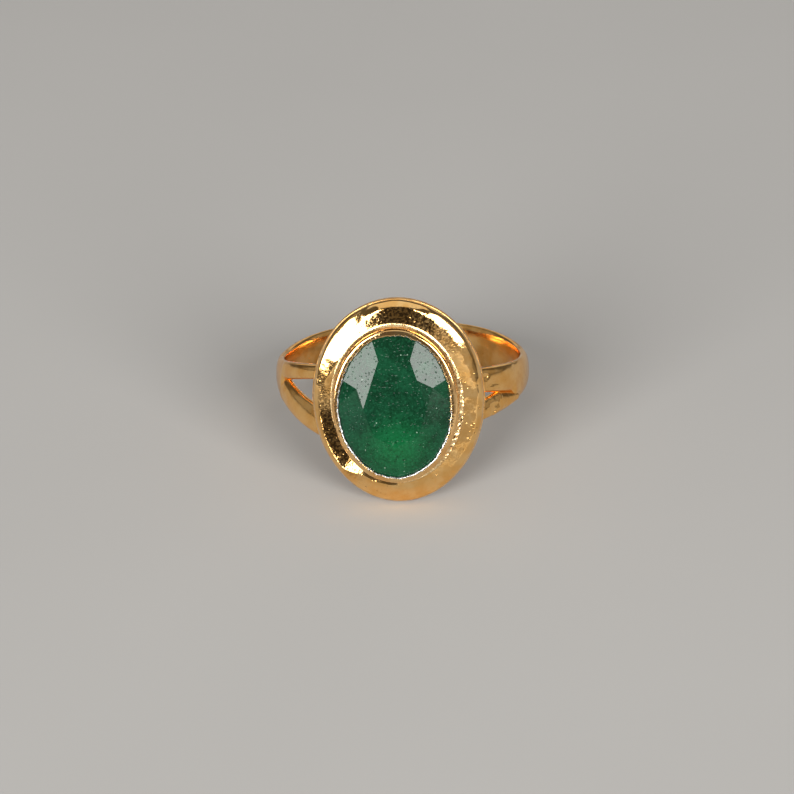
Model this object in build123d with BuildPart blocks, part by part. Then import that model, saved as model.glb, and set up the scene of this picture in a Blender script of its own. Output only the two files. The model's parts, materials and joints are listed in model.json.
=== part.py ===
from build123d import *
from math import atan2, cos, pi, sin
import os

# Cocktail ring: an oval faceted stone in a burnished bezel, set on an arched oval base plate inside
# a half-round collar, carried by a thin hoop whose shoulders fork. Millimetres, +Z up. The ring lies
# as it rests on a table: on the head's lower rim and the back of the hoop, stone facing -Y and up.

# Finger hole and hoop
bore_radius = 8.65            # US size 7
hoop_thickness = 0.8
hoop_half_width_back = 1.65
hoop_half_width_side = 1.15

# Forked shoulders. Each fork starts at its root, opens at its knee and ends at the tip distance, all
# measured from the finger axis towards the stone; the edges are heights along the finger.
arm_tip = 9.0
arm_end = 3.2                 # the arms run on under the plate, to this far from the middle
left_fork = dict(root=2.9, knee=3.3, slit=0.25, bottom=-1.5, upper=(1.8, 2.75), lower=(-3.8, -1.75))
right_fork = dict(root=3.8, knee=5.55, slit=-0.7, bottom=-1.45, upper=(0.65, 2.15), lower=(-2.4, -1.1))

# Head heights, from the finger axis towards the stone
plate_underside = bore_radius + 0.05
plate_thickness = 0.5
collar_height = 0.8
girdle_height = 10.75
bezel_top = 11.05
arch_drop = 1.0               # how far the head's left and right rims droop towards the finger
head_offset = 0.2             # head centre, along the finger from the hoop's middle

# Oval outlines, as half-lengths across the finger and along it
plate_oval = (6.28, 7.6)
bezel_oval = (4.55, 5.73)
bezel_shift = -0.15           # the setting sits a little left of the collar's middle
collar_inset = 0.06           # the plate's edge shows as a fine line outside the collar
collar_outer_round = 0.65
collar_inner_bevel = 0.5
plate_edge_round = 0.08
bezel_wall_thickness = 0.28
bezel_clearance = 0.02
lip_overlap = 0.2
lip_thickness = 0.22
lip_round = 0.1
seat_width = 0.5
seat_gap = 0.06
window_share = 0.62           # size of the plate's light window, as a share of the bezel oval
seam_width = 0.3              # solder run in the groove between the bezel and the collar
seam_height = 0.27
seam_foot = 0.06              # width of the run at its bottom
seam_rise = 0.1               # height of its bottom over the bottom of the groove

# Stone
crown_height = 0.7
girdle_thickness = 0.12
pavilion_depth = 1.75
table_share = 0.54            # table corners, as a share of the girdle's half-lengths
star_share = 0.7              # outer tips of the star facets
main_facets = 8

# Worked out from the sizes above
outer_radius = bore_radius + hoop_thickness
plate_top = plate_underside + plate_thickness
collar_top = plate_top + collar_height
seam_base = collar_top - collar_inner_bevel + seam_rise
arch_radius = (plate_oval[0] ** 2 + arch_drop ** 2) / (2 * arch_drop)
cavity_oval = [half - bezel_wall_thickness for half in bezel_oval]
stone_oval = [half - bezel_clearance for half in cavity_oval]
front_drop = plate_oval[1] - head_offset
rest_tilt = atan2(front_drop - hoop_half_width_back, plate_underside + outer_radius)
bore_centre_z = front_drop * cos(rest_tilt) - plate_underside * sin(rest_tilt)
bore_centre_y = 1.336         # puts the middle of the footprint on the origin
head_base = 6.0               # the head's sketches start here and are trimmed by the arch
beyond = 15.0                 # past the ring on every side

# Directions: along the finger, and the way the stone faces
finger_axis = Vector(0, sin(rest_tilt), cos(rest_tilt))
facing = Vector(0, -cos(rest_tilt), sin(rest_tilt))
centre = Vector(0, bore_centre_y, bore_centre_z)
head_centre = centre + finger_axis * head_offset

# Planes. Front: x across, y towards the stone. Side: x towards the stone, y along the finger.
# Head and setting: x across, y along the finger, offsets towards the stone.
front = Plane(origin=centre, x_dir=(1, 0, 0), z_dir=-finger_axis)
side = Plane(origin=centre, x_dir=facing, z_dir=(-1, 0, 0))
head = Plane(origin=head_centre, x_dir=(1, 0, 0), z_dir=facing)
setting = Plane(origin=head_centre + Vector(bezel_shift, 0, 0), x_dir=(1, 0, 0), z_dir=facing)


def under_arch(height, mode):
    """Everything under the arched surface that stands this high at its middle."""
    with BuildSketch(front) as disc:
        with Locations((0, height - arch_radius)):
            Circle(arch_radius)
    extrude(disc.sketch, amount=beyond, both=True, mode=mode)


def oval(half_lengths, grown=0.0, mode=Mode.ADD):
    """An oval with these half-lengths, each grown by the same amount."""
    return Ellipse(half_lengths[0] + grown, half_lengths[1] + grown, mode=mode)


def hoop_and_upper_arm(fork, reach):
    """Half the hoop with its upper arm: the left half for a positive reach, else the right."""
    with BuildSketch(side) as outline:
        with BuildLine():
            Polyline(
                (-beyond, -hoop_half_width_back),
                (-beyond, hoop_half_width_back),
                (-outer_radius, hoop_half_width_back),
                (0, hoop_half_width_side),
                (arm_tip, fork["upper"][1]),
                (arm_tip, fork["upper"][0]),
                (fork["root"], fork["slit"]),
                (fork["root"], fork["bottom"]),
                (0, -hoop_half_width_side),
                (-outer_radius, -hoop_half_width_back),
                close=True,
            )
        make_face()
    extrude(outline.sketch, amount=reach)


def lower_arm(fork, reach):
    """A lower arm from its joint with the hoop: the left one for a positive reach, else the right."""
    share = (fork["knee"] - fork["root"]) / (arm_tip - fork["root"])
    knee_height = fork["slit"] + share * (fork["upper"][0] - fork["slit"])
    with BuildSketch(side) as outline:
        with BuildLine():
            Polyline(
                (fork["root"], fork["bottom"]),
                (fork["root"], fork["slit"]),
                (fork["knee"], knee_height),
                (arm_tip, fork["lower"][1]),
                (arm_tip, fork["lower"][0]),
                close=True,
            )
        make_face()
    extrude(outline.sketch, amount=reach)


def trim_to_shank():
    """Keep the material of the hoop: a round band, open under the stone and trimmed by the plate."""
    with BuildSketch(front) as band:
        Circle(outer_radius)
        Circle(bore_radius, mode=Mode.SUBTRACT)
        Rectangle(2 * arm_end, beyond, align=(Align.CENTER, Align.MIN), mode=Mode.SUBTRACT)
    extrude(band.sketch, amount=beyond, both=True, mode=Mode.INTERSECT)
    under_arch(plate_underside, Mode.INTERSECT)


os.makedirs("parts", exist_ok=True)

# Hoop: one strip round the finger, whose ends run on as the two upper arms
with BuildPart() as shank_hoop:
    hoop_and_upper_arm(left_fork, beyond)
    hoop_and_upper_arm(right_fork, -beyond)
    trim_to_shank()
shank_hoop.part.label = "shank_hoop"

# Lower arms: soldered under the upper arms, one on each shoulder
with BuildPart() as lower_arm_left:
    lower_arm(left_fork, beyond)
    trim_to_shank()
lower_arm_left.part.label = "lower_arm_left"

with BuildPart() as lower_arm_right:
    lower_arm(right_fork, -beyond)
    trim_to_shank()
lower_arm_right.part.label = "lower_arm_right"

# Base plate: an arched oval sheet with a window under the stone
with BuildPart() as base_plate:
    with BuildSketch(head.offset(head_base)):
        oval(plate_oval)
    extrude(amount=beyond)
    with BuildSketch(setting.offset(head_base)):
        Ellipse(bezel_oval[0] * window_share, bezel_oval[1] * window_share)
    extrude(amount=beyond, mode=Mode.SUBTRACT)
    under_arch(plate_top, Mode.INTERSECT)
    under_arch(plate_underside, Mode.SUBTRACT)
    rims = base_plate.faces().filter_by(GeomType.CYLINDER)
    fillet([edge for rim in rims for edge in rim.outer_wire().edges()], plate_edge_round)
base_plate.part.label = "base_plate"

# Collar: half-round frame around the setting, bevelled inside to leave a groove for solder
with BuildPart() as collar:
    with BuildSketch(head.offset(head_base)):
        oval(plate_oval, -collar_inset)
    extrude(amount=beyond)
    with BuildSketch(setting.offset(head_base)):
        oval(bezel_oval)
    extrude(amount=beyond, mode=Mode.SUBTRACT)
    under_arch(collar_top, Mode.INTERSECT)
    under_arch(plate_top, Mode.SUBTRACT)
    crest = collar.faces().filter_by(GeomType.CYLINDER).sort_by(Axis(centre, facing))[-1]
    inner_rim = crest.inner_wires()[0].edges()
    fillet(crest.outer_wire().edges(), collar_outer_round)
    chamfer(inner_rim, collar_inner_bevel)
collar.part.label = "collar"

# Bezel: a strip bent to an oval, its top edge burnished in over the stone
with BuildPart() as bezel_wall:
    with BuildSketch(setting.offset(head_base)):
        oval(bezel_oval)
    extrude(amount=bezel_top - head_base)
    with BuildSketch(setting.offset(head_base)):
        oval(cavity_oval)
    extrude(amount=bezel_top - lip_thickness - head_base, mode=Mode.SUBTRACT)
    with BuildSketch(setting.offset(head_base)):
        oval(cavity_oval, -lip_overlap)
    extrude(amount=beyond, mode=Mode.SUBTRACT)
    under_arch(plate_top, Mode.SUBTRACT)
    lip = bezel_wall.faces().sort_by(Axis(centre, facing))[-1]
    fillet(lip.edges(), lip_round)
bezel_wall.part.label = "bezel_wall"

# Seat: a bearing strip inside the bezel that the stone's pavilion rests on
pavilion_slope = pavilion_depth / stone_oval[0]
seat_top = girdle_height - girdle_thickness - seat_width * pavilion_slope - seat_gap
with BuildPart() as bezel_seat:
    with BuildSketch(setting.offset(head_base)):
        oval(cavity_oval)
        oval(cavity_oval, -seat_width, mode=Mode.SUBTRACT)
    extrude(amount=seat_top - head_base)
    under_arch(plate_top, Mode.SUBTRACT)
bezel_seat.part.label = "bezel_seat"

# Solder: a run in the bevelled groove at the foot of the bezel, three-cornered in section
with BuildPart() as solder_seam:
    with BuildSketch(setting.offset(head_base)):
        oval(bezel_oval, seam_width)
        oval(bezel_oval, mode=Mode.SUBTRACT)
    extrude(amount=beyond)
    under_arch(seam_base + seam_height, Mode.INTERSECT)
    under_arch(seam_base, Mode.SUBTRACT)
    foot = solder_seam.faces().filter_by(GeomType.CYLINDER).sort_by(Axis(centre, facing))[0]
    chamfer(foot.outer_wire().edges(), seam_width - seam_foot)
solder_seam.part.label = "solder_seam"

# Stone: an oval brilliant, cut facet by facet from an oval blank
half_step = pi / main_facets
star_rise = crown_height * (1 - star_share * cos(half_step)) / (1 - table_share)


def stone_point(share, angle, height):
    """A point of the stone at a share of the girdle oval, in the setting's own directions."""
    return Vector(stone_oval[0] * share * cos(angle), stone_oval[1] * share * sin(angle), height)


def cut_facet(first, second, third):
    """Cut the blank along the plane of three points and keep the side that holds its middle."""
    points = [setting.from_local_coords(point) for point in (first, second, third)]
    normal = (points[1] - points[0]).cross(points[2] - points[0])
    middle = setting.from_local_coords(Vector(0, 0, girdle_height))
    outward = normal if normal.dot(points[0] - middle) > 0 else -normal
    split(bisect_by=Plane(origin=points[0], z_dir=outward), keep=Keep.BOTTOM)


def cut_main(angle, inner_share, inner_height, edge_height):
    """Cut a main facet, which faces straight out at its angle."""
    edge = stone_point(1, angle, edge_height)
    along = stone_point(1, angle + pi / 2, 0)
    cut_facet(stone_point(inner_share, angle, inner_height), edge, edge + along)


with BuildPart() as stone:
    with BuildSketch(setting.offset(girdle_height - girdle_thickness - pavilion_depth)):
        oval(stone_oval)
    extrude(amount=pavilion_depth + girdle_thickness + crown_height)
    table_height = girdle_height + crown_height
    girdle_foot = girdle_height - girdle_thickness
    for facet in range(main_facets):
        angle = 2 * half_step * facet
        cut_main(angle, table_share, table_height, girdle_height)
        cut_main(angle, 0, girdle_foot - pavilion_depth, girdle_foot)
        star = stone_point(star_share, angle + half_step, girdle_height + star_rise)
        cut_facet(
            star,
            stone_point(table_share, angle, table_height),
            stone_point(table_share, angle + 2 * half_step, table_height),
        )
        for turn in (0, 2 * half_step):
            edge = stone_point(1, angle + turn, girdle_height)
            cut_facet(star, edge, stone_point(1, angle + half_step, girdle_height))
stone.part.label = "stone"

for piece in (
    shank_hoop,
    lower_arm_left,
    lower_arm_right,
    base_plate,
    collar,
    bezel_wall,
    bezel_seat,
    solder_seam,
    stone,
):
    export_step(piece.part, f"parts/{piece.part.label}.step")
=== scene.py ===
import json
import math

import bpy
import numpy as np
from mathutils import Matrix, Vector, noise


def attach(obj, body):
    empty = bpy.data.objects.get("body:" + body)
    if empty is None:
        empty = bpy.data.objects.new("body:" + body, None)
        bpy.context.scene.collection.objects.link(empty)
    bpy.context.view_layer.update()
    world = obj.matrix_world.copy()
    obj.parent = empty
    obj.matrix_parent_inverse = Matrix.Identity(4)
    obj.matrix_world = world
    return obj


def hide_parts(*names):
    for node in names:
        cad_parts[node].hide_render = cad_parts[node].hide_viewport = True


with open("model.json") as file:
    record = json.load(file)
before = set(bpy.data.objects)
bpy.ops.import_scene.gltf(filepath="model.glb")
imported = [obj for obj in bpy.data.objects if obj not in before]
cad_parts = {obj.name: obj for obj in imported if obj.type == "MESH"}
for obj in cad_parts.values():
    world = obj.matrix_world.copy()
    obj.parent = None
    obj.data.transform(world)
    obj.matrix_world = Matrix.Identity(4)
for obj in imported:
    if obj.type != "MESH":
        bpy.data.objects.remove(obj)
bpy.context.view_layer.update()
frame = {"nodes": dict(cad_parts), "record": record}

MM = 0.001

# The ring's own directions, from its finger bore: u across, n towards the stone, a along the finger.
bore = frame["record"]["mounts"][0]
CENTRE = np.array(bore["pos_m"]) / MM
ALONG = np.array(bore["axis"])
ACROSS = np.array([1.0, 0.0, 0.0])
FACING = np.array([0.0, -ALONG[2], ALONG[1]])

# Sizes of the CAD model, in millimetres. What lies towards the stone is measured from the finger's axis.
BORE = bore["dims"]["r_mm"]
OUTER = BORE + 0.8
MID_WALL = (BORE + OUTER) / 2
HALF_BACK = 1.65
HALF_SIDE = 1.15
ARM_TIP = 9.0
ARM_END = 3.2
PLATE_UNDER = 8.7
PLATE_TOP = 9.2
ARCH_RADIUS = 20.22
HEAD_SHIFT = 0.2
SETTING_SHIFT = -0.15
COLLAR_OVAL = (6.22, 7.54)
BEZEL_OVAL = (4.55, 5.73)
GIRDLE = 10.75
BEZEL_TOP = 11.05

# The forks of the shoulders: where each one starts and where it opens, towards the stone, then the heights
# of its edges along the finger, and how much higher the lower arm's upper edge is on its inside.
LEFT = dict(root=2.9, knee=3.3, slit=0.25, bottom=-1.5, upper=(1.8, 2.75), lower=(-3.8, -1.75), slant=0.24)
RIGHT = dict(root=3.8, knee=5.55, slit=-0.7, bottom=-1.45, upper=(0.65, 2.15), lower=(-2.4, -1.1), slant=0.16)


def place(u, n, a):
    """Points in the ring's directions, in millimetres, as points of the frame in metres."""
    u, n, a = (np.asarray(x, float)[..., None] for x in (u, n, a))
    return (CENTRE + u * ACROSS + n * FACING + a * ALONG) * MM


def sag(u):
    """How far the arched head droops at this distance from its middle."""
    return ARCH_RADIUS - np.sqrt(ARCH_RADIUS**2 - np.asarray(u) ** 2)


def smooth(x):
    """0 up to 0, 1 from 1 on, and an even curve between."""
    x = np.clip(x, 0, 1)
    return x * x * (3 - 2 * x)


def bump_at(angle, centre, width):
    """A smooth hump of height 1 round an angle, in radians."""
    away = np.abs((angle - centre + math.pi) % (2 * math.pi) - math.pi)
    return smooth(1 - away / width)


def rough(points, scale, seed, depth=2):
    """Fractal noise at points of the frame, about -1 to 1; scale is in features per millimetre."""
    flat = points.reshape(-1, 3) * (scale / MM)
    offset = Vector((seed * 7.31, seed * 3.17, seed * 5.53))
    values = [noise.fractal(Vector(p) + offset, 1.0, 2.0, depth) for p in flat]
    return np.array(values).reshape(points.shape[:-1])


def build(name, points, is_ring, material, node, masks=None):
    """A piece from a grid of points: first index along the sweep, second round its closed section.

    A ring joins up with its start, and any other sweep gets a face at each end.
    """
    count, section = points.shape[:2]
    faces = []
    for i in range(count if is_ring else count - 1):
        for j in range(section):
            k, m = (i + 1) % count, (j + 1) % section
            faces.append((i * section + j, k * section + j, k * section + m, i * section + m))
    if not is_ring:
        faces.append(tuple(range(section)))
        faces.append(tuple(reversed(range((count - 1) * section, count * section))))
    mesh = bpy.data.meshes.new(name)
    mesh.from_pydata(points.reshape(-1, 3).tolist(), [], faces)
    mesh.update()
    for mask, values in (masks or {}).items():
        attribute = mesh.attributes.new(mask, "FLOAT", "POINT")
        attribute.data.foreach_set("value", np.asarray(values, np.float32).ravel())
    piece = bpy.data.objects.new(name, mesh)
    bpy.context.scene.collection.objects.link(piece)
    for polygon in mesh.polygons:
        polygon.use_smooth = True
    mesh.materials.append(material)
    turn_outward(mesh)
    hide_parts(node)
    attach(piece, "root")


def turn_outward(mesh):
    """Make the mesh's normals point out, from the sign of its volume."""
    mesh.calc_loop_triangles()
    co = np.array([v.co for v in mesh.vertices])
    tris = np.array([t.vertices for t in mesh.loop_triangles])
    p, q, r = (co[tris[:, k]] for k in range(3))
    if np.einsum("ij,ij->i", p, np.cross(q, r)).sum() < 0:
        mesh.flip_normals()


# ---------------------------------------------------------------- materials


class Tree:
    """A material's node tree, with short ways to add and join its nodes."""

    def __init__(self, name):
        self.material = bpy.data.materials.new(name)
        self.material.use_nodes = True
        self.nodes = self.material.node_tree.nodes
        self.links = self.material.node_tree.links
        self.shader = self.nodes["Principled BSDF"]
        coordinates = self.add("ShaderNodeTexCoord")
        scale = self.add("ShaderNodeVectorMath", operation="SCALE")
        self.links.new(coordinates.outputs["Object"], scale.inputs[0])
        scale.inputs["Scale"].default_value = 1 / MM
        self.mm = scale.outputs[0]

    def add(self, kind, **settings):
        """A new node with these settings."""
        node = self.nodes.new(kind)
        for key, value in settings.items():
            setattr(node, key, value)
        return node

    def set(self, node, key, value):
        """Feed a node's input from another node, or give it a plain value."""
        if isinstance(value, bpy.types.NodeSocket):
            self.links.new(value, node.inputs[key])
        else:
            node.inputs[key].default_value = value

    def stretched(self, factors):
        """The piece's own place in millimetres, scaled by a factor on each axis."""
        node = self.add("ShaderNodeVectorMath", operation="MULTIPLY")
        self.links.new(self.mm, node.inputs[0])
        node.inputs[1].default_value = factors
        return node.outputs[0]

    def noise(self, scale, detail=2.0, rough=0.5, vector=None, distortion=0.0):
        """Noise about 0.5; scale is in features per millimetre."""
        node = self.add("ShaderNodeTexNoise")
        self.links.new(vector or self.mm, node.inputs["Vector"])
        node.inputs["Scale"].default_value = scale
        node.inputs["Detail"].default_value = detail
        node.inputs["Roughness"].default_value = rough
        node.inputs["Distortion"].default_value = distortion
        return node.outputs["Fac"]

    def cells(self, scale):
        """Random cells, each with a random colour and the distance from its middle."""
        node = self.add("ShaderNodeTexVoronoi")
        self.links.new(self.mm, node.inputs["Vector"])
        node.inputs["Scale"].default_value = scale
        return node

    def dots(self, scale, radii, channel, luck):
        """Dots in random cells, fading out between two radii, kept where the cell's value has luck."""
        cells = self.cells(scale)
        value = self.add("ShaderNodeSeparateColor")
        self.links.new(cells.outputs["Color"], value.inputs[0])
        dot = self.ramp(cells.outputs["Distance"], *radii, 1.0, 0.0)
        return self.math("MULTIPLY", dot, self.ramp(value.outputs[channel], *luck))

    def ramp(self, value, low, high, to_low=0.0, to_high=1.0):
        """A smooth step from one value to another, between two bounds."""
        node = self.add("ShaderNodeMapRange", interpolation_type="SMOOTHSTEP")
        self.links.new(value, node.inputs["Value"])
        for key, number in (("From Min", low), ("From Max", high), ("To Min", to_low), ("To Max", to_high)):
            node.inputs[key].default_value = number
        return node.outputs[0]

    def math(self, operation, first, second=0.0, third=0.0):
        """A sum, product or other operation on values or plain numbers."""
        node = self.add("ShaderNodeMath", operation=operation)
        for index, value in enumerate((first, second, third)):
            if index < len(node.inputs):
                self.set(node, index, value)
        return node.outputs[0]

    def mix(self, factor, first, second):
        """A blend of two colours."""
        node = self.add("ShaderNodeMix", data_type="RGBA")
        self.set(node, 0, factor)
        for index, value in ((6, first), (7, second)):
            if isinstance(value, tuple):
                value = (*value, 1.0)
            self.set(node, index, value)
        return node.outputs[2]

    def mask(self, name):
        """Values that the mesh holds for each of its points."""
        node = self.add("ShaderNodeAttribute", attribute_name=name)
        return node.outputs["Fac"]

    def bump(self, height, distance, strength=1.0, normal=None):
        """A normal for this height; the distance is in millimetres."""
        node = self.add("ShaderNodeBump")
        node.inputs["Distance"].default_value = distance * MM
        node.inputs["Strength"].default_value = strength
        self.links.new(height, node.inputs["Height"])
        if normal is not None:
            self.links.new(normal, node.inputs["Normal"])
        return node.outputs[0]


# Dark colour for pits and specks, also used as painted dark reflection on the collar's grainy bands.
DIRT_AND_PAINTED_REFLECTION = (0.14, 0.075, 0.025)
SILVER = (0.66, 0.67, 0.67)
TARNISH = (0.16, 0.16, 0.15)
DARKENING_STRENGTH = 0.85


def gold(name, bright, deep, roughness, pits, grain, worn=False, pitted_and_painted_dark=None):
    """Polished gold-coloured metal: mottled tone, orange peel, hairline scratches and casting pits.

    Pits and grain scale the marks. Worn metal turns silvery where its wear mask is high, and the last
    argument names a mask of grainy places whose colour also gets a painted dark reflection.
    """
    t = Tree(name)
    colour = t.mix(t.ramp(t.noise(0.8, 3.0, 0.6), 0.35, 0.65), bright, deep)
    pit = t.ramp(t.cells(3.4).outputs["Distance"], 0.10, 0.22, 1.0, 0.0)
    pit = t.math("MULTIPLY", pit, t.ramp(t.noise(0.9, 2.0), 0.5, 0.68))
    speck = t.ramp(t.noise(9.0, 3.0, 0.7), 0.62, 0.72)
    # In the masked grainy region the colour is also darkened in speckled noise: painted dark reflection,
    # where the metal mirrors dark surroundings.
    if pitted_and_painted_dark:
        painted_dark_reflection = t.math("MULTIPLY", t.ramp(t.noise(5.5, 2.0, 0.7), 0.42, 0.54), t.mask(pitted_and_painted_dark))
        speck = t.math("MAXIMUM", t.math("MULTIPLY", speck, 0.25), painted_dark_reflection)
    else:
        speck = t.math("MULTIPLY", speck, 0.3)
    # Pits and specks are darkened, and with them the painted dark reflection.
    dirt_and_painted_reflection = t.math("MULTIPLY", t.math("MAXIMUM", pit, speck), DARKENING_STRENGTH * pits)
    colour = t.mix(dirt_and_painted_reflection, colour, DIRT_AND_PAINTED_REFLECTION)
    smear = t.noise(2.2, 4.0, 0.65, t.stretched((1.0, 0.45, 1.0)), 0.4)
    rough_value = t.ramp(smear, 0.3, 0.7, *roughness)
    peel = t.math("MULTIPLY", t.noise(1.3, 2.0, 0.5), 0.35 * grain)
    height = t.math("ADD", peel, t.math("MULTIPLY", t.noise(7.0, 3.0, 0.6), 0.07 * grain))
    height = t.math("SUBTRACT", height, t.math("MULTIPLY", pit, 0.4 * pits))
    if pitted_and_painted_dark:
        grit = t.math("MULTIPLY", t.noise(7.0, 1.0, 0.5), t.mask(pitted_and_painted_dark))
        height = t.math("ADD", height, t.math("MULTIPLY", grit, 0.30))
    if worn:
        ragged = t.math("MULTIPLY", t.math("SUBTRACT", t.noise(6.5, 4.0, 0.75), 0.5), 1.5)
        silver = t.ramp(t.math("ADD", t.mask("wear"), ragged), 0.50, 0.58)
        colour = t.mix(silver, colour, t.mix(t.ramp(t.noise(12.0, 2.0), 0.46, 0.56), SILVER, TARNISH))
        rough_value = t.math("MULTIPLY_ADD", silver, 0.22, rough_value)
        height = t.math("SUBTRACT", height, t.math("MULTIPLY", silver, 0.6))
    scratches = t.noise(5.0, 2.0, 0.5, t.stretched((8.0, 0.7, 0.7)))
    t.set(t.shader, "Base Color", colour)
    t.set(t.shader, "Metallic", 1.0)
    t.set(t.shader, "Roughness", rough_value)
    t.set(t.shader, "Normal", t.bump(height, 0.05, 0.8, t.bump(scratches, 0.0025, 0.35)))
    return t.material


def solder_metal(name):
    """Solder: bright and smooth in places, with dark pits where it is heavy."""
    t = Tree(name)
    lumps = t.noise(4.5, 4.0, 0.7, distortion=0.5)
    colour = t.mix(t.ramp(lumps, 0.38, 0.62), (0.86, 0.52, 0.20), (1.0, 0.76, 0.42))
    pit = t.math("MULTIPLY", t.dots(2.6, (0.12, 0.30), 0, (0.35, 0.45)), t.mask("heavy"))
    colour = t.mix(t.math("MULTIPLY", pit, 0.92), colour, (0.10, 0.035, 0.01))
    height = t.math("SUBTRACT", t.math("MULTIPLY", lumps, 0.4), pit)
    t.set(t.shader, "Base Color", colour)
    t.set(t.shader, "Metallic", 1.0)
    t.set(t.shader, "Roughness", t.ramp(lumps, 0.3, 0.7, 0.16, 0.34))
    t.set(t.shader, "Normal", t.bump(height, 0.06, 0.8))
    return t.material


# The stone's greens
DEEP_GREEN = (0.00227, 0.0207, 0.00842)
CLOUD_GREEN = (0.00389, 0.0376, 0.0156)
LEFT_GREEN = (0.00518, 0.0389, 0.022)
PATCH_GREEN = (0.00324, 0.0842, 0.0233)
GRAIN_GREEN = (0.0104, 0.0778, 0.0356)
NEARLY_BLACK = (0.0013, 0.0104, 0.00454)
PALE_SPECK = (0.22, 0.298, 0.233)
MIST_GREEN = (0.0259, 0.117, 0.0648)


def green_stone(name):
    """Cloudy dark green stone: mottled depth, a paler patch low down, pale and dark specks, glossy facets."""
    t = Tree(name)

    def near(point, radius):
        """1 at a point of the stone, given in the ring's directions, down to 0 at this radius."""
        node = t.add("ShaderNodeVectorMath", operation="DISTANCE")
        t.links.new(t.mm, node.inputs[0])
        node.inputs[1].default_value = tuple(place(*point) / MM)
        return t.ramp(node.outputs["Value"], 0.0, radius, 1.0, 0.0)

    left = (SETTING_SHIFT - 3.0, GIRDLE + 0.3, HEAD_SHIFT - 0.6)
    low = (SETTING_SHIFT + 0.1, GIRDLE + 0.6, HEAD_SHIFT - 3.0)
    fine = t.noise(5.5, 6.0, 0.8)
    colour = t.mix(t.ramp(t.noise(0.6, 3.0, 0.6, distortion=0.4), 0.38, 0.64), DEEP_GREEN, CLOUD_GREEN)
    colour = t.mix(t.math("MULTIPLY", near(left, 2.4), 0.3), colour, LEFT_GREEN)
    patch = t.math("MULTIPLY", near(low, 3.4), t.ramp(fine, 0.34, 0.60, 0.35, 1.0))
    colour = t.mix(patch, colour, PATCH_GREEN)
    colour = t.mix(t.math("MULTIPLY", t.ramp(fine, 0.46, 0.68), 0.6), colour, GRAIN_GREEN)
    dark = t.ramp(t.noise(3.2, 5.0, 0.75), 0.53, 0.66)
    colour = t.mix(t.math("MULTIPLY", dark, 0.7), colour, NEARLY_BLACK)
    speck = t.dots(2.1, (0.06, 0.13), 0, (0.62, 0.70))
    colour = t.mix(t.math("MULTIPLY", speck, 0.85), colour, PALE_SPECK)
    mist = t.ramp(t.noise(11.0, 3.0, 0.7), 0.6, 0.72)
    colour = t.mix(t.math("MULTIPLY", mist, 0.5), colour, MIST_GREEN)
    pin = t.dots(4.6, (0.12, 0.28), 1, (0.30, 0.40))
    skin = t.math("SUBTRACT", t.math("MULTIPLY", t.noise(2.4, 2.0), 0.10), pin)
    normal = t.bump(skin, 0.02, 0.6)
    t.set(t.shader, "Base Color", colour)
    t.set(t.shader, "Roughness", 0.45)
    t.set(t.shader, "Specular IOR Level", 0.0)
    t.set(t.shader, "Coat Weight", 1.0)
    t.set(t.shader, "Coat IOR", 1.34)
    t.set(t.shader, "Coat Roughness", 0.03)
    t.set(t.shader, "Coat Normal", normal)
    t.set(t.shader, "Normal", normal)
    return t.material


shank_gold = gold("shank_gold", (1.0, 0.60, 0.215), (0.90, 0.465, 0.12), (0.12, 0.24), pits=0.6, grain=1.0)
# The head's gold paints a dark reflection into its colour where the collar's mask of grainy bands is high.
head_gold = gold("head_gold", (1.0, 0.63, 0.25), (0.92, 0.51, 0.155), (0.055, 0.095), pits=1.0, grain=0.4,
                 pitted_and_painted_dark="pitted_and_painted_dark")
plate_gold = gold("plate_gold", (0.95, 0.58, 0.22), (0.82, 0.44, 0.13), (0.24, 0.42), pits=0.9, grain=1.0)
bezel_gold = gold("bezel_gold", (0.96, 0.62, 0.27), (0.90, 0.50, 0.18), (0.07, 0.12), pits=0.4, grain=0.3,
                  worn=True)
solder = solder_metal("solder_metal")
stone_green = green_stone("stone_green")

# ---------------------------------------------------------------- shank


def hoop_edge(n, fork, top):
    """Height along the finger of the hoop's top or bottom edge, at this distance towards the stone."""
    half = HALF_BACK + (HALF_SIDE - HALF_BACK) * float(smooth((n + OUTER) / OUTER))
    if not top:
        fall = (fork["bottom"] + HALF_SIDE) / fork["root"]
        return -half + max(n, 0.0) * fall
    rise = (fork["upper"][1] - HALF_SIDE) / ARM_TIP
    shoulder = 0.12 * math.exp(-((n / 1.6) ** 2)) if rise > 0.1 else 0.0
    return half + max(n, 0.0) * rise + shoulder


def between(n, start, start_height, end, end_height):
    """Height at n on the straight line between two points."""
    return start_height + (end_height - start_height) * (n - start) / (end - start)


def slit_top(n, fork):
    """Height of the upper arm's lower edge, which runs straight from the fork's root to the tip."""
    return between(n, fork["root"], fork["slit"], ARM_TIP, fork["upper"][0])


def slit_bottom(n, fork):
    """Height of the lower arm's upper edge: along the upper arm up to the knee, then straight to the tip."""
    knee_height = slit_top(fork["knee"], fork)
    if n < fork["knee"]:
        return slit_top(n, fork)
    return between(n, fork["knee"], knee_height, ARM_TIP, fork["lower"][1])


def rounded_section(low, high, slant):
    """A strip's section as (radius, height) points: domed outside, flatter inside with soft corners."""
    middle, half = (low + high) / 2, (high - low) / 2
    widest = BORE + 0.32
    outside = (OUTER - widest, 2.3, 20, -90.0)
    inside = (BORE - widest, 3.4, 14, 90.0)
    points = []
    for reach, power, count, start in (outside, inside):
        for step in range(count):
            angle = math.radians(start + 180.0 * step / count)
            across = abs(math.cos(angle)) ** (2 / power)
            tall = math.copysign(abs(math.sin(angle)) ** (2 / power), math.sin(angle))
            radius = widest + reach * across
            inner = (OUTER - radius) / (OUTER - BORE)
            points.append((radius, middle + half * tall + slant * inner * max(tall, 0.0)))
    return points


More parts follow.
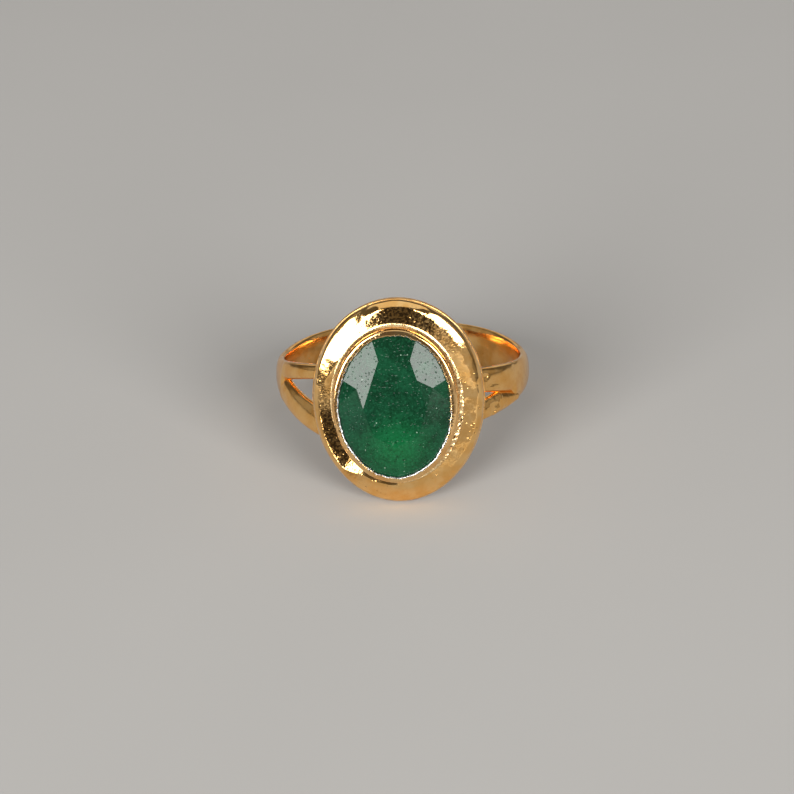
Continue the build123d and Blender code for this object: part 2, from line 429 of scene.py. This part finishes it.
def strip(name, node, angles, low, high, seed, lumps, slant=0.0):
    """A bent strip: angles are measured round the finger from the back, positive to the right.

    Low and high give its edges' heights along the finger, and lumps gives what is added to its radius.
    """
    rows = []
    for angle in angles:
        n = -MID_WALL * math.cos(angle)
        sign = 1 if angle > 0 else -1
        section = rounded_section(low(n, sign), high(n, sign), slant)
        rows.append([(r * math.sin(angle), -r * math.cos(angle), h) for r, h in section])
    rows = np.array(rows)
    u, n, a = rows[..., 0], rows[..., 1], rows[..., 2]
    radius = np.hypot(u, n)
    points = place(u, n, a)
    uneven = rough(points, 0.35, seed, 2) * 0.03 + rough(points, 1.3, seed + 1, 2) * 0.008
    outside = smooth((radius - BORE) / (OUTER - BORE))
    scale = 1 + (lumps(u, n, a) - 0.012 - np.abs(uneven)) * outside / radius
    u, n = u * scale, n * scale
    a = a + rough(points, 0.25, seed + 5, 1) * 0.03
    inside_plate = PLATE_UNDER - sag(u) + 0.12
    n = np.minimum(n, inside_plate)
    build(name, place(u, n, a), False, shank_gold, node)


# Arms run on to this angle from the back, under the plate.
ARM_REACH = math.pi - math.asin(ARM_END / MID_WALL)


def shank():
    """The hoop with both upper arms, swept from one arm's end round the back to the other."""

    def high(n, sign):
        return hoop_edge(n, RIGHT if sign > 0 else LEFT, True)

    def low(n, sign):
        fork = RIGHT if sign > 0 else LEFT
        hoop = hoop_edge(min(n, fork["root"]), fork, False)
        arm = slit_top(max(n, fork["root"]), fork)
        return hoop + (arm - hoop) * float(smooth((n - fork["root"] + 0.05) / 0.45))

    def lumps(u, n, a):
        nick = np.exp(-(((u - 6.35) / 0.2) ** 2 + ((a - 1.25) / 0.2) ** 2))
        hollow = np.exp(-(((u - 6.95) / 0.5) ** 2 + ((a - 0.62) / 0.2) ** 2))
        return -(0.20 * nick + 0.17 * hollow) * (n > 0)

    strip("hoop_and_upper_arms", "shank_hoop", np.linspace(-ARM_REACH, ARM_REACH, 361), low, high, 3, lumps)


def lower_arm(name, node, fork, sign, seed, lumps):
    """A lower arm, soldered under the upper one; it starts a little inside the hoop's end."""
    overlap = 0.28
    start = math.acos(-(fork["root"] - overlap) / MID_WALL)
    angles = sign * np.linspace(start, ARM_REACH, 120)[::sign]

    def low(n, _):
        if n > fork["root"]:
            return between(n, fork["root"], fork["bottom"], ARM_TIP, fork["lower"][0])
        return hoop_edge(n, fork, False) - 0.005

    def high(n, _):
        return slit_bottom(max(n, fork["root"]), fork) - 0.02

    strip(name, node, angles, low, high, seed, lumps, fork["slant"])


def solder_bead(u, n, a):
    """A little solder at the root of the left fork."""
    return 0.02 * np.exp(-(((n - LEFT["root"]) / 0.35) ** 2))


def solder_patch(u, n, a):
    """Rough solder over the middle of the right lower arm."""
    return np.exp(-(((n - 6.2) / 0.9) ** 2)) * (0.02 + 0.10 * rough(place(u, n, a), 2.2, 11, 3))


shank()
lower_arm("lower_arm_L", "lower_arm_left", LEFT, -1, 21, solder_bead)
lower_arm("lower_arm_R", "lower_arm_right", RIGHT, 1, 31, solder_patch)

# ---------------------------------------------------------------- head


def round_angles(count):
    """Evenly spaced angles round the head."""
    return np.linspace(0, 2 * math.pi, count, endpoint=False)


def outline(oval, shift, angles):
    """Points of an oval of the head, across and along the finger."""
    return shift + oval[0] * np.cos(angles), HEAD_SHIFT + oval[1] * np.sin(angles)


def bezel_outline(angles):
    """The bezel's outline, and the direction out of it at each point."""
    out_u, out_a = BEZEL_OVAL[1] * np.cos(angles), BEZEL_OVAL[0] * np.sin(angles)
    length = np.hypot(out_u, out_a)
    return (*outline(BEZEL_OVAL, SETTING_SHIFT, angles), out_u / length, out_a / length)


def closed_ring(name, rows, material, node, masks):
    """A piece of the head from rows of (u, n, a) points round it."""
    build(name, place(*np.moveaxis(rows, -1, 0)), True, material, node, masks)


def round_the_head(angles, table):
    """Values given at a few angles of the head, joined smoothly all the way round."""
    known = np.radians([row[0] for row in table])
    values = np.array([row[1:] for row in table])
    known = np.concatenate([known - 2 * math.pi, known, known + 2 * math.pi])
    values = np.tile(values, (3, 1))
    before = np.searchsorted(known, angles, side="right") - 1
    share = smooth((angles - known[before]) / (known[before + 1] - known[before]))
    return (values[before] + (values[before + 1] - values[before]) * share[:, None]).T


# The collar is dressed by hand. At each angle of the head, counted from its right end towards the top:
# the width of the outer slope in millimetres, its tilt and the tilt of the face inside it, in degrees
# outward from the direction the stone faces.
COLLAR_SHAPE = (
    (0, 0.46, 34.0, 13.0), (18, 0.70, 26.0, 9.0), (46, 0.76, 21.0, 6.0), (62, 0.66, 20.0, 4.0),
    (78, 0.46, 36.0, 3.0), (90, 0.40, 50.0, 3.0), (100, 0.46, 44.0, 1.0), (113, 0.74, 24.0, 4.0),
    (126, 1.14, 18.0, 9.0), (138, 1.42, 19.0, 13.0), (154, 1.20, 20.0, 6.0), (170, 0.78, 20.0, 4.0),
    (190, 0.40, 44.0, 1.0), (206, 0.36, 42.0, -2.5), (222, 0.40, 40.0, -5.5), (243, 1.20, 26.0, -7.0),
    (260, 1.25, 24.0, -2.0), (278, 1.05, 26.0, 5.0), (294, 0.98, 28.0, 5.0), (312, 0.60, 32.0, 8.0),
    (335, 0.36, 40.0, 12.0),
)


RIDGE_HEIGHT = 0.77         # of the collar's highest line, over the plate
COLLAR_EDGE = 0.22          # how far in the collar's rounded edge reaches
COLLAR_FOOT = 0.10          # height where that rounding starts


def collar_profile(width, slope_width, slope_tilt, face_tilt, arch):
    """Distances in from the collar's edge and heights over the plate, round one section of the collar.

    The arch is how steeply the head falls outwards here, so that tilts count from the way the stone faces.
    """
    ridge = min(slope_width, width - 0.25)
    outer = math.tan(math.radians(slope_tilt)) - arch
    face = math.tan(math.radians(face_tilt)) - 0.85 * arch
    inward = np.linspace(COLLAR_EDGE, width - 0.10, 34)
    along = np.clip((inward - COLLAR_EDGE) / (ridge - COLLAR_EDGE + 0.01), 0, 1)
    on_face = smooth((inward - ridge + 0.14) / 0.28)
    steep = outer * (1.2 - 0.4 * along) * (1 - on_face) + face * on_face
    height = np.concatenate([[0.0], np.cumsum((steep[1:] + steep[:-1]) / 2 * np.diff(inward))])
    height = height - height.max() + RIDGE_HEIGHT
    edge = COLLAR_EDGE * (1 - np.cos(np.linspace(0, math.pi / 2, 12)))[:-1]
    swell = (height[0] - COLLAR_FOOT - COLLAR_EDGE * steep[0]) * np.sqrt(1 - (1 - edge / COLLAR_EDGE) ** 2)
    edge_height = COLLAR_FOOT + swell + steep[0] * edge
    underside = [width, width, width * 0.5, 0.0]
    under_heights = [height[-1] - 0.1, 0.0, 0.0, 0.0]
    return np.concatenate([edge, inward, underside]), np.concatenate([edge_height, height, under_heights])


def collar():
    """The collar: an outer slope up to a ridge, and a face from there to the bezel, as in COLLAR_SHAPE.

    Gives back the angles and the height of its inner edge at each one.
    """
    angles = round_angles(512)
    outer_u, outer_a = outline(COLLAR_OVAL, 0.0, angles)
    inner_u, inner_a = outline(BEZEL_OVAL, SETTING_SHIFT, angles)
    width = np.hypot(outer_u - inner_u, outer_a - inner_a)
    fall = np.abs(outer_u) / np.sqrt(ARCH_RADIUS**2 - outer_u**2)
    arch = fall * np.abs(outer_u - inner_u) / width
    shapes = zip(width, *round_the_head(angles, COLLAR_SHAPE), arch)
    profiles = np.array([collar_profile(*shape) for shape in shapes])
    share = profiles[:, 0] / width[:, None]
    heights = profiles[:, 1]
    u = outer_u[:, None] + (inner_u - outer_u)[:, None] * share
    a = outer_a[:, None] + (inner_a - outer_a)[:, None] * share
    n = PLATE_TOP - sag(u) + heights
    points = place(u, n, a)
    calm_right = 1 - 0.7 * bump_at(angles, math.radians(325), 1.1)
    worked = rough(points, 0.55, 41, 2) * 0.020 * calm_right[:, None] + rough(points, 2.2, 42, 3) * 0.003
    n = n + (worked - 0.02) * smooth(heights / 0.5)
    # Two grainy bands, at the top and on the left, get grit and a painted dark reflection in their colour.
    pitted_and_painted_dark = 1.5 * bump_at(angles, math.radians(76), 0.95) + 1.5 * bump_at(angles, math.radians(202), 0.85)
    inset = np.hypot(u - outer_u[:, None], a - outer_a[:, None])
    pitted_and_painted_dark = np.clip(pitted_and_painted_dark, 0, 1)[:, None] * smooth((inset - 0.3) / 0.2)
    rows = np.stack([u, n, a], axis=-1)
    closed_ring("collar_ring", rows, head_gold, "collar", {"pitted_and_painted_dark": pitted_and_painted_dark})
    inner_edge = -5
    return angles, heights[:, inner_edge]


# The bezel strip's section: how far in from its outer face, the height towards the stone, and how much of
# the lip's raggedness shows there. The lowest points stand on the plate, wherever it is.
ON_PLATE = 0.0
BEZEL_PROFILE = (
    (0.00, ON_PLATE, 0), (0.00, 10.30, 0), (0.00, 10.55, 0), (0.005, 10.70, 0), (0.02, 10.82, 0),
    (0.045, 10.90, 0), (0.08, 10.945, 0), (0.13, 10.972, 0), (0.19, 10.982, 0.05),
    (0.25, 10.99, 0.15), (0.31, 10.998, 0.35), (0.36, 11.003, 0.7), (0.40, 11.0, 0.9),
    (0.435, 10.98, 1.0), (0.46, 10.94, 1.0), (0.475, 10.89, 1.0), (0.48, 10.845, 1.0),
    (0.47, 10.82, 1.0), (0.36, 10.79, 1.0), (0.29, 10.75, 0), (0.28, 10.5, 0), (0.28, ON_PLATE, 0),
)


def bezel():
    """The bezel strip: a plain wall, with its top pressed in over the stone and left ragged at the edge."""
    angles = round_angles(900)
    line_u, line_a, out_u, out_a = bezel_outline(angles)
    wavy = 0.020 * np.sin(5 * angles + 1.0) + 0.014 * np.sin(11 * angles + 2.0) + 0.010 * np.sin(17 * angles)
    edge_points = place(line_u, np.full(len(angles), BEZEL_TOP), line_a)
    ragged = rough(edge_points, 3.5, 51, 3) * 0.045 + rough(edge_points, 9.0, 52, 2) * 0.03
    uneven = rough(edge_points, 5.0, 53, 2) * 0.012
    wider_right = 0.10 * bump_at(angles, 0.0, 1.3)
    flatter_left = 0.07 * bump_at(angles, math.radians(180), 1.4)
    worn = 0.42 * np.ones(len(angles))
    for place_of_wear, width, amount in ((300, 1.5, 0.55), (190, 1.2, 0.45), (60, 0.9, 0.25)):
        worn += amount * bump_at(angles, math.radians(place_of_wear), width)
    rows, wear = [], []
    for inward, height, edge in BEZEL_PROFILE:
        shift = inward + edge * (ragged + wavy * 0.6 + wider_right) + wavy * 0.4 * (height > 10.6)
        u = line_u - out_u * shift
        a = line_a - out_a * shift
        n = PLATE_TOP - sag(u) if height == ON_PLATE else height + edge * uneven
        if 0.1 < inward < 0.45 and height > 10.9:
            n = n - (inward - 0.1) * flatter_left
        rows.append(np.stack([u, n, a], axis=1))
        wear.append(edge * np.clip(worn, 0, 1))
    rows = np.moveaxis(np.array(rows), 0, 1)
    closed_ring("bezel_strip", rows, bezel_gold, "bezel_wall", {"wear": np.array(wear).T})


def seam(collar_angles, collar_heights):
    """The solder run: a fillet from the bezel's wall to the collar, lumpy and with dark pits down the right.
    """
    across = 14
    tucked_in = 0.02
    angles = round_angles(900)
    line_u, line_a, out_u, out_a = bezel_outline(angles)
    face = np.interp(angles, collar_angles, collar_heights, period=2 * math.pi)
    heavy = bump_at(angles, math.radians(335), 1.35)
    reach = 0.26 + 0.18 * heavy
    rise = 0.24 + 0.04 * heavy
    section = []
    for turn in np.linspace(0, math.pi / 2, across):
        section.append((reach * (1 - math.cos(turn)), face + 0.01 + rise * (1 - math.sin(turn))))
    for share in (0.9, 0.0):
        section.append((reach * share, face - 0.12))
    rows = []
    for out, up in section:
        u = line_u + out_u * (out - tucked_in)
        a = line_a + out_a * (out - tucked_in)
        rows.append(np.stack([u, PLATE_TOP - sag(u) + up, a], axis=1))
    rows = np.moveaxis(np.array(rows), 0, 1)
    points = place(*np.moveaxis(rows, -1, 0))
    weight = np.zeros(rows.shape[:2])
    weight[:, :across] = (0.10 + 0.90 * heavy)[:, None] * np.sin(np.linspace(0.3, 2.8, across))
    lumps = (rough(points, 1.7, 61, 3) * 0.05 + rough(points, 5.0, 62, 2) * 0.035) * weight
    rows[..., 0] += out_u[:, None] * lumps * 0.5
    rows[..., 1] += lumps
    rows[..., 2] += out_a[:, None] * lumps * 0.5
    pitted_and_painted_dark = np.broadcast_to(smooth(heavy * 1.6)[:, None], rows.shape[:2])
    closed_ring("solder_run", rows, solder, "solder_seam", {"heavy": pitted_and_painted_dark})


seam_angles, seam_heights = collar()
bezel()
seam(seam_angles, seam_heights)


def finish_node(name, material):
    """Give a CAD solid its material."""
    node = frame["nodes"][name]
    node.data.materials.clear()
    node.data.materials.append(material)


finish_node("base_plate", plate_gold)
finish_node("bezel_seat", plate_gold)
finish_node("stone", stone_green)

# ---------------------------------------------------------------- floor, light and camera


def floor_material():
    """Matt pale grey with faint broad clouds."""
    t = Tree("floor_pale")
    cloud = t.noise(0.02, 3.0, 0.5)
    t.set(t.shader, "Base Color", t.mix(cloud, (0.355, 0.348, 0.339), (0.39, 0.383, 0.373)))
    t.set(t.shader, "Roughness", 1.0)
    t.set(t.shader, "Specular IOR Level", 0.0)
    return t.material


def lay_floor(half):
    """A square floor under the ring; half is half its side in metres."""
    mesh = bpy.data.meshes.new("floor")
    corners = [(-half, -half, 0), (half, -half, 0), (half, half, 0), (-half, half, 0)]
    mesh.from_pydata(corners, [], [(0, 1, 2, 3)])
    mesh.materials.append(floor_material())
    floor = bpy.data.objects.new("floor", mesh)
    bpy.context.scene.collection.objects.link(floor)


def softbox(name, direction, distance, width, height, radiance, tint):
    """A soft rectangular light that faces the ring, with its sizes and distance in metres."""
    light = bpy.data.lights.new(name, "AREA")
    light.shape = "RECTANGLE"
    light.size, light.size_y = width, height
    light.energy = radiance * math.pi * width * height
    light.color = tint
    lamp = bpy.data.objects.new(name, light)
    towards = Vector(direction).normalized()
    head_height = Vector((0, 0, 0.01))
    lamp.location = towards * distance + head_height
    lamp.rotation_euler = towards.to_track_quat("Z", "Y").to_euler()
    bpy.context.scene.collection.objects.link(lamp)


lay_floor(1.5)

NEUTRAL = (1.0, 0.985, 0.96)
WARM = (1.0, 0.98, 0.95)
softbox("key_left", (-0.501, -0.786, 0.363), 0.84, 0.466, 0.476, 14.0, NEUTRAL)
softbox("key_right", (0.520, -0.742, 0.423), 0.84, 0.40, 0.42, 14.0, NEUTRAL)
softbox("top", (0.0, 0.12, 0.99), 0.50, 0.60, 0.50, 0.7, (1.0, 0.99, 0.97))
softbox("fill_right", (0.498, -0.862, 0.087), 0.45, 0.34, 0.10, 0.32, WARM)
softbox("side_left", (-0.91, 0.0, 0.42), 0.50, 0.36, 0.38, 0.2, WARM)
softbox("side_right", (0.91, 0.0, 0.42), 0.50, 0.36, 0.38, 0.2, WARM)
softbox("rear", (0.0, 0.95, 0.31), 0.60, 0.80, 0.30, 0.5, (1.0, 0.97, 0.93))

world = bpy.data.worlds.new("studio")
bpy.context.scene.world = world
world.use_nodes = True
background = world.node_tree.nodes["Background"]
background.inputs["Color"].default_value = (0.10, 0.095, 0.09, 1.0)
background.inputs["Strength"].default_value = 1.0

# Camera. Its tilt and turn are from the way the stone faces and the finger's axis. Lengths are in
# millimetres, and the aim is how far the view's middle is to the right of the bore's centre and above it.
TILT_UP, TURN, ROLL = (math.radians(x) for x in (15.0, 2.4, 1.4))
DISTANCE = 300.0
VIEW_WIDTH = 59.254
AIM = (-0.42, -1.94)
SENSOR = 36.0


def place_camera():
    """The camera, far off with a long lens."""
    axes = np.stack([ACROSS, FACING, ALONG], axis=1)
    low_back = np.array([math.sin(TURN), math.cos(TURN), 0.0])
    tall = np.array([0.0, 0.0, 1.0])
    level_right = axes @ np.array([math.cos(TURN), -math.sin(TURN), 0.0])
    level_up = axes @ (tall * math.cos(TILT_UP) - low_back * math.sin(TILT_UP))
    back = axes @ (tall * math.sin(TILT_UP) + low_back * math.cos(TILT_UP))
    right = level_right * math.cos(ROLL) - level_up * math.sin(ROLL)
    up = level_right * math.sin(ROLL) + level_up * math.cos(ROLL)
    spot = (CENTRE + right * AIM[0] + up * AIM[1] + back * DISTANCE) * MM
    data = bpy.data.cameras.new("camera")
    data.sensor_width = SENSOR
    data.lens = SENSOR * DISTANCE / VIEW_WIDTH
    data.clip_start = 0.01
    camera = bpy.data.objects.new("camera", data)
    bpy.context.scene.collection.objects.link(camera)
    camera.matrix_world = Matrix((*np.stack([right, up, back, spot], axis=1).tolist(), (0, 0, 0, 1)))
    bpy.context.scene.camera = camera


place_camera()
bpy.context.scene.view_settings.view_transform = "Standard"
